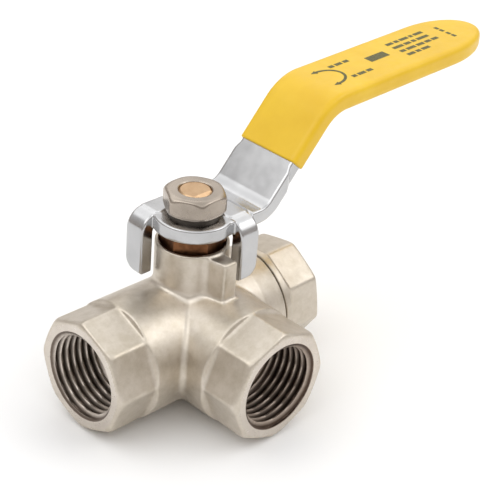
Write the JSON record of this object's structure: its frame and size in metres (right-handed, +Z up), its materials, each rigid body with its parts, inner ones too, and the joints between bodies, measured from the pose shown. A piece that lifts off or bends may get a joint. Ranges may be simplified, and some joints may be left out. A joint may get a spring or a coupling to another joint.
{
  "type": "three way valve",
  "caption": "Three way ball valve in nickel-plated brass: straight run and side branch with threaded octagonal ends, quarter turn lever with a yellow sleeve.",
  "frame": {"origin": "centre of the end face of the common (branch) port; the ball centre is at y = +30.2 mm", "axes": "+X along the straight run towards the port with the screwed-in end adapter, which is also where the lever points at rest; the common port opens towards -Y; +Z up the valve stem"},
  "size_m": [0.1256, 0.0442, 0.0682],
  "materials": {
    "nickel_brass": "satin nickel plate over forged brass",
    "bare_brass": "turned, unplated",
    "chromed_ball": "polished hard chrome",
    "plated_steel": "bright zinc plate",
    "plated_nut": "nickel plate",
    "yellow_vinyl": "soft satin dipped vinyl",
    "ptfe": "smooth white",
    "rubber_seal": "matt black"
  },
  "bodies": {
    "housing": {"body": "nickel_brass", "end_adapter": "nickel_brass", "adapter_seal": "ptfe", "seat_a": "ptfe", "seat_b": "ptfe", "seat_c": "ptfe", "seat_rear": "ptfe", "seat_ring_a": "rubber_seal", "seat_ring_b": "rubber_seal", "seat_ring_c": "rubber_seal", "seat_ring_rear": "rubber_seal", "thrust_washer": "ptfe", "packing_ring": "ptfe", "gland_nut": "bare_brass"},
    "handle": {"stem": "bare_brass", "stem_ring_lower": "rubber_seal", "stem_ring_upper": "rubber_seal", "lever": "plated_steel", "lever_sleeve": "yellow_vinyl", "lock_washer": "plated_steel", "lever_nut": "plated_nut"},
    "ball": {"ball": "chromed_ball"}
  },
  "joints": [
    {"name": "lever_swing", "type": "hinge", "parent": "housing", "child": "handle", "pos_m": [0, 0.0302, 0.0271], "axis": [0, 0, 1], "range_deg": [0, 90]},
    {"name": "ball_turn", "type": "hinge", "parent": "housing", "child": "ball", "pos_m": [0, 0.0302, 0], "axis": [0, 0, 1], "range_deg": [0, 90]}
  ],
  "couplings": [
    {"joint": "ball_turn", "follows": "lever_swing", "ratio": 1}
  ]
}
